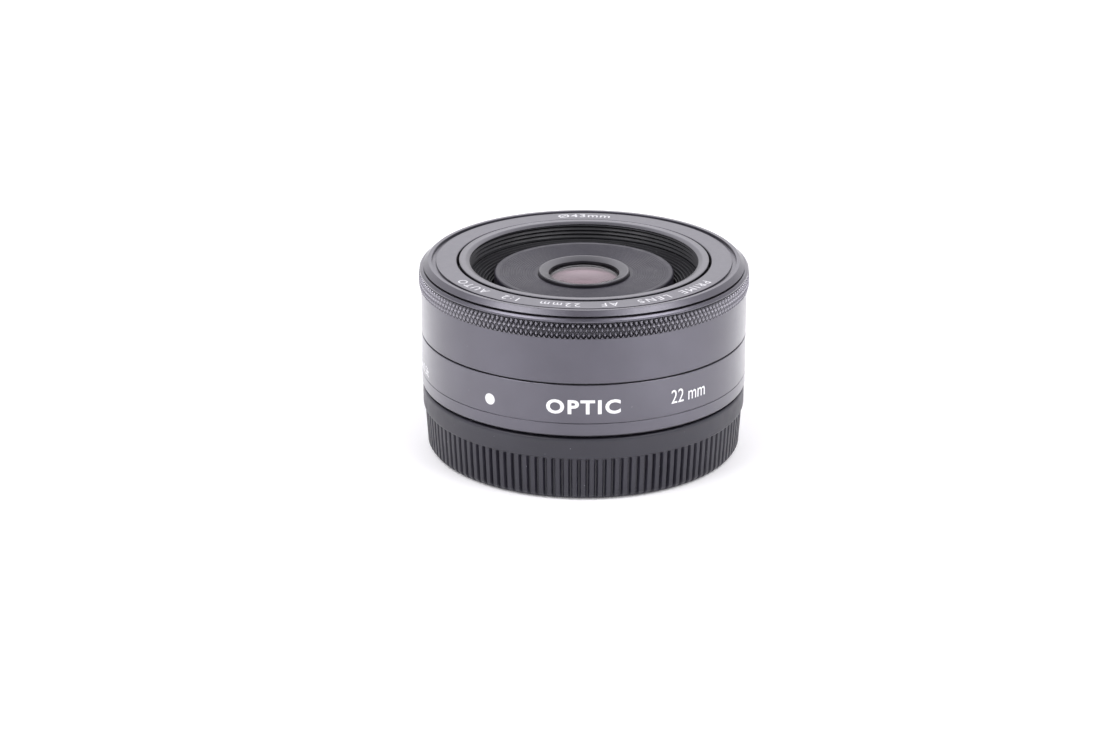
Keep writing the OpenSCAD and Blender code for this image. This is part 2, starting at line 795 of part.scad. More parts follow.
// Outline of a blade: an arc-shaped leaf, with an ear for its pivot and drive pin
module blade_outline() {
    steps = 18;
    from = -2;
    outer = [for (k = [0:steps]) polar(blade_out, from + (blade_reach - from) * k / steps)];
    inner = [for (k = [steps:-1:0]) polar(blade_in, from + (blade_reach - from) * k / steps)];
    polygon(concat(outer, inner));
    translate([7.6, -0.8]) square([2, 1.6]);
    translate([blade_pivot_r, 0]) circle(r = 0.8, $fn = 32);
    translate(polar(drive_pin_r, drive_pin_angle)) circle(r = 0.65, $fn = 32);
    translate([blade_pivot_r, 0]) rotate(direction([blade_pivot_r, 0], polar(drive_pin_r, drive_pin_angle)))
        translate([0, -0.5]) square([2, 1]);
}

module iris_blade(k) {
    z = blade_z + k * blade_pitch;
    color("#3a3a3e")
        rotate([0, 0, 360 * k / blade_count]) {
            translate([0, 0, z]) linear_extrude(blade_t) blade_outline();
            translate([blade_pivot_r, 0, 23.65]) cylinder(r = blade_pin_r, h = z + blade_t - 23.65);
            translate([0, 0, z]) at(polar(drive_pin_r, drive_pin_angle))
                cylinder(r = blade_pin_r, h = iris_ring_z + iris_ring_t - z);
        }
}

module iris_motor() {
    color("#8f9095")
        difference() {
            at(polar(iris_motor_r, iris_motor_angle), iris_cover_z + 0.35) cylinder(r = 2.45, h = 4.6);
            at(polar(iris_motor_r, iris_motor_angle), iris_cover_z) cylinder(r = 0.45, h = 3);
        }
}

module iris_pinion() {
    color("#c9a54a")
        at(polar(iris_motor_r, iris_motor_angle)) {
            translate([0, 0, iris_ring_z - 0.05])
                rotate([0, 0, iris_motor_angle + 180]) gear(iris_teeth, gear_module, iris_ring_t + 0.1);
            translate([0, 0, iris_ring_z]) cylinder(r = 0.4, h = 3);
        }
}

module iris_screws() {
    color("silver")
        for (a = iris_screw_angles)
            at(polar(iris_screw_r, a), iris_cover_z + 0.35) screw(0.9, 0.35, 0.43, 1.7);
}

// Thin ribbon from the main board level up to the iris unit
module iris_flex() {
    color("#c47a2c")
        rotate([0, 0, 40]) translate([13.2, -2.2, 16.4]) cube([0.12, 4.4, 8.6]);
}

rear_cap();
lens_mount();
mount_screws();
rear_ring();
outer_barrel();
fixed_barrel();
name_ring();
focus_ring();
friction_washer();
ring_sensors();
rear_cover();
contact_block();
contact_pins();
contact_screws();
main_board();
board_chips();
board_screws();
guide_barrel();
guide_screws();
cam_ring();
focus_motor();
motor_pinion();
reduction_gear_1();
reduction_gear_2();
gear_shafts();
gear_plate();
plate_screws();
inner_barrel();
cam_followers();
light_trap_ring();
front_cover();
nose_ring();
front_cell();
lens_element_1();
lens_element_2();
lens_element_3();
front_spacer();
rear_cell();
lens_element_4();
lens_element_5();
lens_element_6();
lens_element_7();
rear_spacer();
rear_retainer();
cell_screws();
iris_base();
iris_ring();
iris_cover();
iris_blade(0);  // iris_blade_1
iris_blade(1);  // iris_blade_2
iris_blade(2);  // iris_blade_3
iris_blade(3);  // iris_blade_4
iris_blade(4);  // iris_blade_5
iris_blade(5);  // iris_blade_6
iris_blade(6);  // iris_blade_7
iris_motor();
iris_pinion();
iris_screws();
iris_flex();
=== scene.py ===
"""A pancake lens on its rear cap: visual pieces, materials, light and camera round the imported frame.

Outlines are lists of (radius, height) or (radius, height, edge rounding) in millimetres, measured from the
bottom of the rear cap along the optical axis. Azimuth 0 is the near side (-Y) and grows towards +X."""

import json
import math

import bmesh
import bpy
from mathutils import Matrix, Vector


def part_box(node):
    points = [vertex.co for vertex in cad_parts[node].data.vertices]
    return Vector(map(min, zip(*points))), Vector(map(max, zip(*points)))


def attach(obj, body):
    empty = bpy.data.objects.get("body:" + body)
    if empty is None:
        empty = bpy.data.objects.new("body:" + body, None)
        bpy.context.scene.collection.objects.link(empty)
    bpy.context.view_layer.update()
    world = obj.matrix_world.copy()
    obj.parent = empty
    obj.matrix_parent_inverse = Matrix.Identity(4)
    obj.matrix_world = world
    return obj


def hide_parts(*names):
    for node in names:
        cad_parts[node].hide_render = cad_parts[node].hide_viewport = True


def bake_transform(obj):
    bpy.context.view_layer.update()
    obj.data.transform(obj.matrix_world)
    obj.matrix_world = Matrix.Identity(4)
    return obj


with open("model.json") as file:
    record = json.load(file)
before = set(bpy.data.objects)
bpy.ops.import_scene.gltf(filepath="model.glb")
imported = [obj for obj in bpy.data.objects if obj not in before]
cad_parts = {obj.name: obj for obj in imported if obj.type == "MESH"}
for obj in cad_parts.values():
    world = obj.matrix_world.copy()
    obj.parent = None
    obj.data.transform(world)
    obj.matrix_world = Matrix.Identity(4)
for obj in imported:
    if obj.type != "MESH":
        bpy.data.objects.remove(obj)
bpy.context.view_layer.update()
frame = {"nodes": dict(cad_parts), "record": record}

MM = 0.001
TURN = 2 * math.pi
MERGE_DISTANCE = 0.0005 * MM
SHORTEST_EDGE = 0.0002 * MM
# Steps round a plain turned piece
SEGMENTS = 288
# The most of a side that the rounding at one of its ends may take
SIDE_SHARE = 0.49

# Main heights and radii in millimetres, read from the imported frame
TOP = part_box("inner_barrel")[1].z / MM
CAP_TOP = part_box("rear_cap")[1].z / MM
CAP_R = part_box("rear_cap")[1].x / MM
BODY_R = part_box("outer_barrel")[1].x / MM
GRIP_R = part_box("focus_ring")[1].x / MM
MARKED_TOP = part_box("outer_barrel")[1].z / MM
RING_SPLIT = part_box("outer_barrel")[0].z / MM
BARREL_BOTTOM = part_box("rear_ring")[0].z / MM


# ---------------------------------------------------------------- mesh tools

def polar(r, z, angle):
    """The point at a radius, a height and an angle from +X, in metres."""
    return (r * math.cos(angle) * MM, r * math.sin(angle) * MM, z * MM)


def on_surface(azimuth, arc, radius):
    """The angle of a point that lies arc millimetres round from an azimuth in degrees."""
    return math.radians(azimuth - 90) + arc / radius


def rounded(outline, steps=4):
    """The outline with each corner that carries a third number rounded by that much."""
    count = len(outline)
    points = []
    for i, corner in enumerate(outline):
        here = Vector(corner[:2])
        if len(corner) < 3 or corner[2] <= 0:
            points.append(tuple(here))
            continue
        before = Vector(outline[i - 1][:2])
        after = Vector(outline[(i + 1) % count][:2])
        reach_in = min(corner[2], (before - here).length * SIDE_SHARE)
        reach_out = min(corner[2], (after - here).length * SIDE_SHARE)
        start = here + (before - here).normalized() * reach_in
        end = here + (after - here).normalized() * reach_out
        for k in range(steps + 1):
            t = k / steps
            points.append(tuple(start * (1 - t) ** 2 + here * 2 * t * (1 - t) + end * t * t))
    return points


def new_object(name, data):
    """Object for a mesh, curve, light or camera, linked to the scene."""
    piece = bpy.data.objects.new(name, data)
    bpy.context.scene.collection.objects.link(piece)
    return piece


def finished(name, work, crease=32):
    """Object from a bmesh: doubles merged, normals outwards, smooth but for edges over crease degrees."""
    bmesh.ops.remove_doubles(work, verts=work.verts, dist=MERGE_DISTANCE)
    bmesh.ops.dissolve_degenerate(work, edges=work.edges, dist=SHORTEST_EDGE)
    bmesh.ops.recalc_face_normals(work, faces=work.faces)
    mesh = bpy.data.meshes.new(name)
    work.to_mesh(mesh)
    work.free()
    mesh.shade_smooth()
    mesh.set_sharp_from_angle(angle=math.radians(crease))
    piece = new_object(name, mesh)
    weighted = piece.modifiers.new("weighted", "WEIGHTED_NORMAL")
    weighted.keep_sharp = True
    return piece


def bridge(work, this, following):
    """Faces between two closed rows of vertices."""
    count = len(this)
    for k in range(count):
        n = (k + 1) % count
        work.faces.new((this[k], following[k], following[n], this[n]))


def capped_tube(work, rows):
    """Faces along a run of closed rows, and over both its ends."""
    for this, following in zip(rows, rows[1:]):
        bridge(work, this, following)
    work.faces.new(rows[0])
    work.faces.new(rows[-1])


def turned(name, outline, segments=SEGMENTS, shaped=None, crease=32):
    """Closed ring: the outline turned round the axis. shaped(r, z, angle) may change a point's radius."""
    work = bmesh.new()
    rows = []
    for i in range(segments):
        angle = TURN * i / segments
        row = []
        for r, z in outline:
            if shaped:
                r = shaped(r, z, angle)
            row.append(work.verts.new(polar(r, z, angle)))
        rows.append(row)
    for i in range(segments):
        bridge(work, rows[i], rows[(i + 1) % segments])
    return finished(name, work, crease)


def sector(name, outline, middle, half, steps):
    """A closed stretch of a ring, from middle - half to middle + half degrees."""
    work = bmesh.new()
    rows = []
    for i in range(steps + 1):
        angle = math.radians(middle - half + 2 * half * i / steps)
        rows.append([work.verts.new(polar(r, z, angle)) for r, z in outline])
    capped_tube(work, rows)
    return finished(name, work)


def joined(name, parts):
    """One object from several."""
    work = bmesh.new()
    for part in parts:
        work.from_mesh(part.data)
        bpy.data.objects.remove(part)
    mesh = bpy.data.meshes.new(name)
    work.to_mesh(mesh)
    work.free()
    return new_object(name, mesh)


def settle(piece, material, body, slot, *nodes):
    """Material and body of a piece, and the CAD nodes it stands for, which are hidden; slot is not used."""
    piece.data.materials.clear()
    piece.data.materials.append(material)
    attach(piece, body)
    if nodes:
        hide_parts(*nodes)
    return piece


# ---------------------------------------------------------------- material tools

def principled(name, colour, roughness, metallic=0.0, **sockets):
    """Material with one Principled shader; sockets are further plain values by socket name."""
    material = bpy.data.materials.new(name)
    material.use_nodes = True
    shader = material.node_tree.nodes["Principled BSDF"]
    shader.inputs["Base Color"].default_value = (*colour, 1)
    shader.inputs["Roughness"].default_value = roughness
    shader.inputs["Metallic"].default_value = metallic
    for socket, value in sockets.items():
        shader.inputs[socket.replace("_", " ")].default_value = value
    return material


def node(material, kind, **inputs):
    """New node; inputs are socket values by name, or links when the value is a socket."""
    made = material.node_tree.nodes.new(kind)
    for name, value in inputs.items():
        socket = made.inputs[name.replace("_", " ")]
        if isinstance(value, bpy.types.NodeSocket):
            material.node_tree.links.new(value, socket)
        else:
            socket.default_value = value
    return made


def math_node(material, operation, first, second=0.0):
    """Result of a Math node; each operand is a number or a socket."""
    made = material.node_tree.nodes.new("ShaderNodeMath")
    made.operation = operation
    for socket, value in zip(made.inputs, (first, second)):
        if isinstance(value, bpy.types.NodeSocket):
            material.node_tree.links.new(value, socket)
        else:
            socket.default_value = value
    return made.outputs[0]


def link(material, value, socket_name):
    """Feed a socket of the material's shader."""
    shader = material.node_tree.nodes["Principled BSDF"]
    material.node_tree.links.new(value, shader.inputs[socket_name])


def places(material):
    """Object coordinates, in metres."""
    return node(material, "ShaderNodeTexCoord").outputs["Object"]


def noise(material, size, detail=2.0, vector=None):
    """Noise between 0 and 1 whose features are about size millimetres across."""
    made = node(material, "ShaderNodeTexNoise", Vector=vector or places(material), Scale=1 / (size * MM),
                Detail=detail, Roughness=0.55)
    return made.outputs[0]


def spread(material, value, low, high, start=0.3, end=0.7):
    """The value mapped from start..end to low..high."""
    made = node(material, "ShaderNodeMapRange", Value=value)
    for socket, number in zip(("From Min", "From Max", "To Min", "To Max"), (start, end, low, high)):
        made.inputs[socket].default_value = number
    return made.outputs["Result"]


# Places of the Mix node's colour sockets, whose names repeat those of its other sockets
MIX_SHARE, MIX_FIRST, MIX_SECOND, MIX_RESULT = 0, 6, 7, 2


def blended(material, share, first, second):
    """Colour between two colours, each a triple or a socket."""
    mix = material.node_tree.nodes.new("ShaderNodeMix")
    mix.data_type = "RGBA"
    material.node_tree.links.new(share, mix.inputs[MIX_SHARE])
    for place, colour in ((MIX_FIRST, first), (MIX_SECOND, second)):
        socket = mix.inputs[place]
        if isinstance(colour, bpy.types.NodeSocket):
            material.node_tree.links.new(colour, socket)
        else:
            socket.default_value = (*colour, 1)
    return mix.outputs[MIX_RESULT]


def scaled(colour, share):
    """The colour made darker or lighter."""
    return tuple(min(1, channel * share) for channel in colour)


def bumped(material, height, distance, strength=1.0):
    """Bump from a height between 0 and 1; distance is the relief in millimetres."""
    made = node(material, "ShaderNodeBump", Height=height, Distance=distance * MM, Strength=strength)
    return made.outputs["Normal"]


def turned_places(material):
    """Radius, a slight drift round the axis, and height, as coordinates for tool marks."""
    x, y, z = node(material, "ShaderNodeSeparateXYZ", Vector=places(material)).outputs
    squares = [math_node(material, "MULTIPLY", side, side) for side in (x, y)]
    radius = math_node(material, "SQRT", math_node(material, "ADD", *squares))
    around = math_node(material, "MULTIPLY", x, 0.02)
    made = node(material, "ShaderNodeCombineXYZ", X=radius, Y=around, Z=z)
    return made.outputs[0]


def tone(material, colour, amount, size):
    """Colour that drifts by amount over patches of that size; returns its socket."""
    share = spread(material, noise(material, size, 3), 0, 1)
    made = blended(material, share, scaled(colour, 1 - amount), scaled(colour, 1 + amount))
    link(material, made, "Base Color")
    return made


DUST = (0.45, 0.45, 0.48)


def dusted(material, colour_socket, size, level):
    """A few pale specks of dust, where noise of that size passes the level, over the colour."""
    share = spread(material, noise(material, size, 4), 0, 1, level, level + 0.03)
    link(material, blended(material, share, colour_socket, DUST), "Base Color")


def anodised(name, colour, roughness, grain=0.012, grain_size=0.09):
    """Bead-blasted and anodised aluminium: fine grain, faint cloudiness and a few dust specks."""
    material = principled(name, colour, roughness, 0.9,
                          Coat_Weight=1.0, Coat_Roughness=0.3, Coat_IOR=1.5)
    dusted(material, tone(material, colour, 0.06, 6), 0.35, 0.75)
    gloss = spread(material, noise(material, 1.5, 3), roughness - 0.03, roughness + 0.04)
    link(material, gloss, "Roughness")
    link(material, bumped(material, noise(material, grain_size, 2), grain, 0.6), "Normal")
    return material


def knurled(name, groove_shade, tip_highlight, low, high):
    """Anodised diamonds with painted light: near black in the grooves as painted shade and much lighter on
    their tips as a painted highlight; low and high are radii.
    """
    material = principled(name, tip_highlight, 0.24, 0.95)
    radius = node(material, "ShaderNodeSeparateXYZ", Vector=turned_places(material)).outputs[0]
    share = spread(material, radius, 0, 1, low * MM, high * MM)
    # Painted shade and highlight: base colour from the groove colour at radius low to the tip colour at
    # radius high
    link(material, blended(material, share, groove_shade, tip_highlight), "Base Color")
    link(material, spread(material, noise(material, 0.4, 3), 0.2, 0.3), "Roughness")
    link(material, bumped(material, noise(material, 0.09, 2), 0.008, 0.6), "Normal")
    return material


def moulded(name, colour, roughness):
    """Injection-moulded plastic with a fine spark-eroded grain."""
    material = principled(name, colour, roughness)
    dusted(material, tone(material, colour, 0.1, 5), 0.5, 0.735)
    gloss = spread(material, noise(material, 2.5, 3), roughness - 0.05, roughness + 0.07)
    link(material, gloss, "Roughness")
    link(material, bumped(material, noise(material, 0.12, 3), 0.01, 0.7), "Normal")
    return material


def machined(name, colour, roughness):
    """Turned metal: tool marks that follow the lathe, and a drift in gloss."""
    material = principled(name, colour, roughness, 1.0)
    tone(material, colour, 0.06, 3)
    marks = noise(material, 0.06, 2, turned_places(material))
    link(material, spread(material, marks, roughness - 0.06, roughness + 0.1), "Roughness")
    link(material, bumped(material, marks, 0.006), "Normal")
    return material


def drawn_metal(name, colour, roughness):
    """Small pressed or headed metal pieces with faint scratches."""
    material = principled(name, colour, roughness, 1.0)
    tone(material, colour, 0.12, 0.8)
    scratches = noise(material, 0.2, 5)
    link(material, spread(material, scratches, roughness - 0.08, roughness + 0.12), "Roughness")
    link(material, bumped(material, scratches, 0.004), "Normal")
    return material


def coated_glass(name):
    """Multi-coated glass: clear, with a dark rose body and a weak rose-tinted reflection."""
    material = principled(name, (0.2, 0.14, 0.16), 0.03, IOR=1.5, Transmission_Weight=1.0,
                          Specular_IOR_Level=0.3, Specular_Tint=(1.0, 0.8, 0.86, 1))
    link(material, spread(material, noise(material, 3, 3), 0.02, 0.06), "Roughness")
    return material


def circuit_green(name):
    """Solder mask over copper tracks."""
    material = principled(name, (0.02, 0.13, 0.06), 0.32)
    brick = node(material, "ShaderNodeTexBrick", Vector=places(material), Scale=420.0,
                 Color1=(0.02, 0.14, 0.07, 1), Color2=(0.015, 0.1, 0.05, 1), Mortar=(0.05, 0.24, 0.12, 1))
    link(material, brick.outputs["Color"], "Base Color")
    link(material, bumped(material, brick.outputs["Fac"], 0.02, 0.5), "Normal")
    link(material, spread(material, noise(material, 0.8), 0.25, 0.42), "Roughness")
    return material


def film(name):
    """Amber polyimide ribbon with parallel copper tracks."""
    amber, copper = (0.36, 0.13, 0.02), (0.6, 0.3, 0.08)
    material = principled(name, (0.42, 0.17, 0.03), 0.28, Transmission_Weight=0.1)
    wave = node(material, "ShaderNodeTexWave", Vector=places(material), Scale=260.0)
    link(material, blended(material, wave.outputs["Fac"], amber, copper), "Base Color")
    link(material, spread(material, noise(material, 0.6), 0.22, 0.4), "Roughness")
    return material


def paint(name, colour):
    """Screen-printed paint, a little uneven."""
    material = principled(name, colour, 0.45)
    tone(material, colour, 0.04, 0.6)
    link(material, bumped(material, noise(material, 0.08), 0.004), "Normal")
    return material


# One for each slot in the record, and knurl, nose_metal, painted_shade_wall, white_print and grey_print besides
MATERIALS = {
    "cap_plastic": moulded("cap_plastic", (0.024, 0.023, 0.033), 0.4),
    "mount_metal": machined("mount_metal", (0.56, 0.55, 0.54), 0.3),
    "marked_barrel": anodised("marked_barrel", (0.088, 0.084, 0.106), 0.33),
    "focus_grip": anodised("focus_grip", (0.08, 0.076, 0.098), 0.33),
    "front_ring": anodised("front_ring", (0.09, 0.086, 0.106), 0.42, grain=0.03, grain_size=0.14),
    "lens_barrel": anodised("lens_barrel", (0.1, 0.097, 0.113), 0.38),
    # Near-black groove colour is painted shade, the light tip colour a painted highlight
    "knurl": knurled("knurl", (0.003, 0.003, 0.004), (0.31, 0.303, 0.335), GRIP_R - 0.5, GRIP_R - 0.2),
    "nose_metal": anodised("nose_metal", (0.028, 0.026, 0.034), 0.36),
    # Near-black plastic on parts of the moving barrel: painted shade for the gap round it and the recess of
    # its thread
    "painted_shade_wall": moulded("painted_shade_wall", (0.01, 0.01, 0.013), 0.5),
    "inner_metal": machined("inner_metal", (0.3, 0.3, 0.31), 0.35),
    "black_plastic": moulded("black_plastic", (0.02, 0.02, 0.023), 0.5),
    "front_disc": moulded("front_disc", (0.022, 0.02, 0.03), 0.4),
    "gold_contact": drawn_metal("gold_contact", (0.9, 0.62, 0.22), 0.2),
    "screw_steel": drawn_metal("screw_steel", (0.35, 0.35, 0.36), 0.3),
    "circuit_board": circuit_green("circuit_board"),
    "chip_black": moulded("chip_black", (0.015, 0.015, 0.016), 0.45),
    "motor_can": drawn_metal("motor_can", (0.5, 0.5, 0.52), 0.28),
    "pinion_brass": drawn_metal("pinion_brass", (0.72, 0.48, 0.18), 0.25),
    "gear_plastic": moulded("gear_plastic", (0.72, 0.7, 0.62), 0.35),
    "optical_glass": coated_glass("optical_glass"),
    "blade_metal": drawn_metal("blade_metal", (0.05, 0.05, 0.055), 0.5),
    "flex_film": film("flex_film"),
    "white_print": paint("white_print", (0.86, 0.86, 0.87)),
    "grey_print": paint("grey_print", (0.68, 0.68, 0.7)),
}


def dress_cad_nodes():
    """Every CAD node takes the material of its slot in the record."""
    for part in frame["record"]["subparts"]:
        data = frame["nodes"][part["node"]].data
        data.materials.clear()
        data.materials.append(MATERIALS[part["material_slot"]])


# ---------------------------------------------------------------- rear cap

RIBS = 120
RIB_TOP = CAP_TOP - 4.05
RIB_SAMPLES = 12
RIB_GROOVE = 0.62
RIB_LOW = 0.25
# Half a rib's land and one of its flanks, as shares of the distance from rib to rib
RIB_HALF_LAND, RIB_FLANK = 0.28, 0.12
# Heights over which the grooves run out at the bottom and at the top
RIB_FADE_LOW, RIB_FADE_HIGH = 0.7, 0.3
# Ribs lie outside this radius; the cap's bore and floor are inside it
RIBBED_FROM = 28
CAP_BORE = 25.3
CAP_FLOOR = 1.6
LUG_R, LUG_LOW, LUG_HIGH = 23.7, 9.9, 11.2
LUG_HALF = 20
LUG_MIDDLES = (60, 180, 300)


def rib_depth(angle):
    """Depth from 0 on a rib to 1 in the groove beside it."""
    phase = (angle * RIBS / TURN + 0.5) % 1
    distance = abs(phase - 0.5)
    return min(1, max(0, (distance - RIB_HALF_LAND) / RIB_FLANK))


def ribbed(r, z, angle):
    """The radius with the grip's grooves cut in, which run out at both ends."""
    fade_low = min(1, max(0, (z - RIB_LOW) / RIB_FADE_LOW))
    fade_high = min(1, max(0, (RIB_TOP + 0.02 - z) / RIB_FADE_HIGH))
    fade = fade_low * fade_high
    if r < RIBBED_FROM or fade <= 0:
        return r
    return r - RIB_GROOVE * fade * rib_depth(angle)


def rear_cap():
    """Cap with a smooth rim band, a ribbed grip and an open top with three lugs."""
    outline = rounded([
        (0, 0.35), (20, 0.35), (20.4, 0.02, 0.1), (27.6, 0, 0.3), (28.5, 0.12, 0.5), (28.95, 0.7, 0.4),
        (29.2, 1.1), (29.3, 2.8), (29.42, 4.4), (29.52, 6), (29.6, RIB_TOP - 0.5), (29.62, RIB_TOP - 0.25),
        (29.65, RIB_TOP, 0.1), (29.95, RIB_TOP + 0.3, 0.25), (CAP_R, RIB_TOP + 0.7, 0.3),
        (CAP_R, CAP_TOP - 0.35, 0.3), (29.75, CAP_TOP, 0.2), (25.6, CAP_TOP, 0.3),
        (CAP_BORE, CAP_TOP - 0.3, 0.2), (CAP_BORE, 1.9, 0.3), (24.9, CAP_FLOOR, 0.2), (0, CAP_FLOOR)])
    shell = turned("cap_shell", outline, RIBS * RIB_SAMPLES, ribbed, 40)
    lug_back = CAP_BORE + 0.15
    lug_outline = rounded([
        (LUG_R, LUG_LOW, 0.15), (lug_back, LUG_LOW), (lug_back, LUG_HIGH), (LUG_R, LUG_HIGH, 0.3)])
    lugs = [sector("cap_lug", lug_outline, middle, LUG_HALF, 24) for middle in LUG_MIDDLES]
    cap = joined("rear_cap_shell", [shell, *lugs])
    cap.data.set_sharp_from_angle(angle=math.radians(40))
    settle(cap, MATERIALS["cap_plastic"], "rear_cap", "cap_plastic", "rear_cap")


# ---------------------------------------------------------------- fixed barrel

RING_BORE = 28.65
BARREL_BORE = 28.55
# Where the marked barrel thins to take the focus ring's skirt
SKIRT_SEAT_R = 29.35


def fixed_shells():
    """Rear ring and marked barrel, with the fine seam between them."""
    ring = turned("rear_ring_skin", rounded([
        (RING_BORE, BARREL_BOTTOM), (29.75, BARREL_BOTTOM, 0.1), (BODY_R, BARREL_BOTTOM + 0.4, 0.15),
        (BODY_R, RING_SPLIT - 0.06, 0.04), (BODY_R - 0.1, RING_SPLIT, 0.04), (RING_BORE, RING_SPLIT)]))
    settle(ring, MATERIALS["marked_barrel"], "barrel", "marked_barrel", "rear_ring")
    barrel = turned("marked_barrel_skin", rounded([
        (BARREL_BORE, RING_SPLIT + 0.01), (BODY_R - 0.1, RING_SPLIT + 0.01),
        (BODY_R, RING_SPLIT + 0.09, 0.04), (BODY_R, MARKED_TOP - 0.1, 0.05),
        (BODY_R - 0.12, MARKED_TOP, 0.05), (SKIRT_SEAT_R, MARKED_TOP), (SKIRT_SEAT_R, 21),
        (BARREL_BORE, 20.5)]))
    settle(barrel, MATERIALS["marked_barrel"], "barrel", "marked_barrel", "outer_barrel")


# ---------------------------------------------------------------- focus ring

DIAMONDS = 200
KNURL_LOW = TOP - 4.97
KNURL_HIGH = TOP - 2.02
KNURL_BAND = KNURL_HIGH - KNURL_LOW
# Height between one row of diamonds and the next, and steps of the mesh across a diamond
ROW_SPACING = 0.84
KNURL_STEPS = 8
# Share of a diamond's full pyramid that is left under its flat
KNURL_FLAT = 0.86
KNURL_VALLEY_R = BODY_R - 0.1
# Rise of the band's end chamfers for each millimetre of height
KNURL_CHAMFER = 1.6
# Relief that is left at the band's two ends
KNURL_END_RELIEF = 0.1
# Where in the pattern the top of the band lies
KNURL_PHASE = 0.75
KNURL_BACK_R = 29.2


def knurl_height(u, v):
    """Height from 0 in a groove to 1 on a diamond's flat, for lattice coordinates u round and v up."""
    def ramp(t):
        return 1 - abs(2 * (t % 1) - 1)
    return min(ramp(u + v), ramp(u - v), KNURL_FLAT) / KNURL_FLAT


def lattice_row(z):
    """The lattice coordinate that goes up with the height."""
    return (z - KNURL_HIGH) / ROW_SPACING / 2 + KNURL_PHASE


def knurl_band():
    """Diamond-knurled ring. Each cell of its mesh is split in the direction of the nearer groove."""
    columns = DIAMONDS * KNURL_STEPS
    rows = math.ceil(KNURL_BAND / ROW_SPACING * KNURL_STEPS / 2)
    work = bmesh.new()
    grid, inner = [], []
    for i in range(columns):
        angle = TURN * i / columns
        line = []
        for k in range(rows + 1):
            z = KNURL_LOW + KNURL_BAND * k / rows
            edge = min(z - KNURL_LOW, KNURL_HIGH - z) * KNURL_CHAMFER
            height = knurl_height(i / KNURL_STEPS, lattice_row(z))
            relief = min((GRIP_R - KNURL_VALLEY_R) * height, edge + KNURL_END_RELIEF)
            line.append(work.verts.new(polar(KNURL_VALLEY_R + relief, z, angle)))
        grid.append(line)
        inner.append([work.verts.new(polar(KNURL_BACK_R, z, angle)) for z in (KNURL_LOW, KNURL_HIGH)])
    for i in range(columns):
        this, following = grid[i], grid[(i + 1) % columns]
        low, high = inner[i]
        next_low, next_high = inner[(i + 1) % columns]
        for k in range(rows):
            u = (i + 0.5) / KNURL_STEPS
            v = lattice_row(KNURL_LOW + KNURL_BAND * (k + 0.5) / rows)
            a, b, c, d = this[k], following[k], following[k + 1], this[k + 1]
            if abs(2 * ((u + v) % 1) - 1) > abs(2 * ((u - v) % 1) - 1):
                work.faces.new((a, b, d))
                work.faces.new((b, c, d))
            else:
                work.faces.new((a, b, c))
                work.faces.new((a, c, d))
        work.faces.new((low, next_low, following[0], this[0]))
        work.faces.new((this[rows], following[rows], next_high, high))
        work.faces.new((high, next_high, next_low, low))
    return finished("focus_ring_knurl", work, 18)


FOCUS_BORE = 28.6
FOCUS_TOP = TOP - 1.14
SKIRT_R, SKIRT_LOW = 29.1, 21.6
# Bottom of the groove that the knurled band fills
BAND_SEAT_R = 29.25


def focus_ring():
    """Smooth skirt, knurled band and the chamfered lip above it."""
    body = turned("focus_ring_body", rounded([
        (FOCUS_BORE, SKIRT_LOW), (SKIRT_R, SKIRT_LOW, 0.1), (SKIRT_R, 22.9, 0.05),
        (BODY_R - 0.1, MARKED_TOP + 0.25, 0.04), (BODY_R, MARKED_TOP + 0.35, 0.05),
        (BODY_R, KNURL_LOW + 0.02), (BAND_SEAT_R, KNURL_LOW + 0.02), (BAND_SEAT_R, KNURL_HIGH - 0.02),
        (BODY_R - 0.15, KNURL_HIGH - 0.02), (BODY_R - 0.15, KNURL_HIGH + 0.2, 0.05),
        (GRIP_R - 0.15, KNURL_HIGH + 0.26, 0.05), (GRIP_R - 0.13, TOP - 1.5, 0.08),
        (30.04, FOCUS_TOP, 0.06), (FOCUS_BORE, FOCUS_TOP)]))
    settle(body, MATERIALS["focus_grip"], "focus_ring", "focus_grip", "focus_ring")
    settle(knurl_band(), MATERIALS["knurl"], "focus_ring", "focus_grip", "focus_ring")


# ---------------------------------------------------------------- front ring and lens unit

FACE_Z = TOP - 0.15
FACE_GROOVE_Z = TOP - 0.6


def name_ring():
    """Front ring: printed face, a groove round it and the raised outer rim."""
    piece = turned("name_ring_skin", rounded([
        (23.45, TOP - 1.3), (23.5, TOP - 0.3, 0.03), (23.62, FACE_Z, 0.08), (27.3, FACE_Z, 0.02),
        (27.34, TOP - 0.2, 0.02), (27.36, FACE_GROOVE_Z, 0.05), (28.08, FACE_GROOVE_Z, 0.05),
        (28.12, TOP - 0.05, 0.04), (28.17, TOP, 0.04), (28.8, TOP, 0.06), (29.7, TOP - 0.81, 0.06),
        (29.7, TOP - 0.85), (28.5, TOP - 0.85), (28.5, TOP - 1.2), (27.25, TOP - 1.2), (27.25, TOP - 2.4),
        (26.5, TOP - 2.4), (26.5, TOP - 1.3)]))
    settle(piece, MATERIALS["front_ring"], "barrel", "front_ring", "name_ring")


THREAD_PITCH = 0.75
THREAD_CORE = 21.1
THREAD_DEPTH = 0.32
THREAD_LOW = TOP - 3.15
THREAD_HIGH = TOP - 0.4
THREAD_RUN_OUT = 0.25
THREAD_BACK_R = 21.75
# Steps of the mesh up one turn of the thread
THREAD_SAMPLES = 6


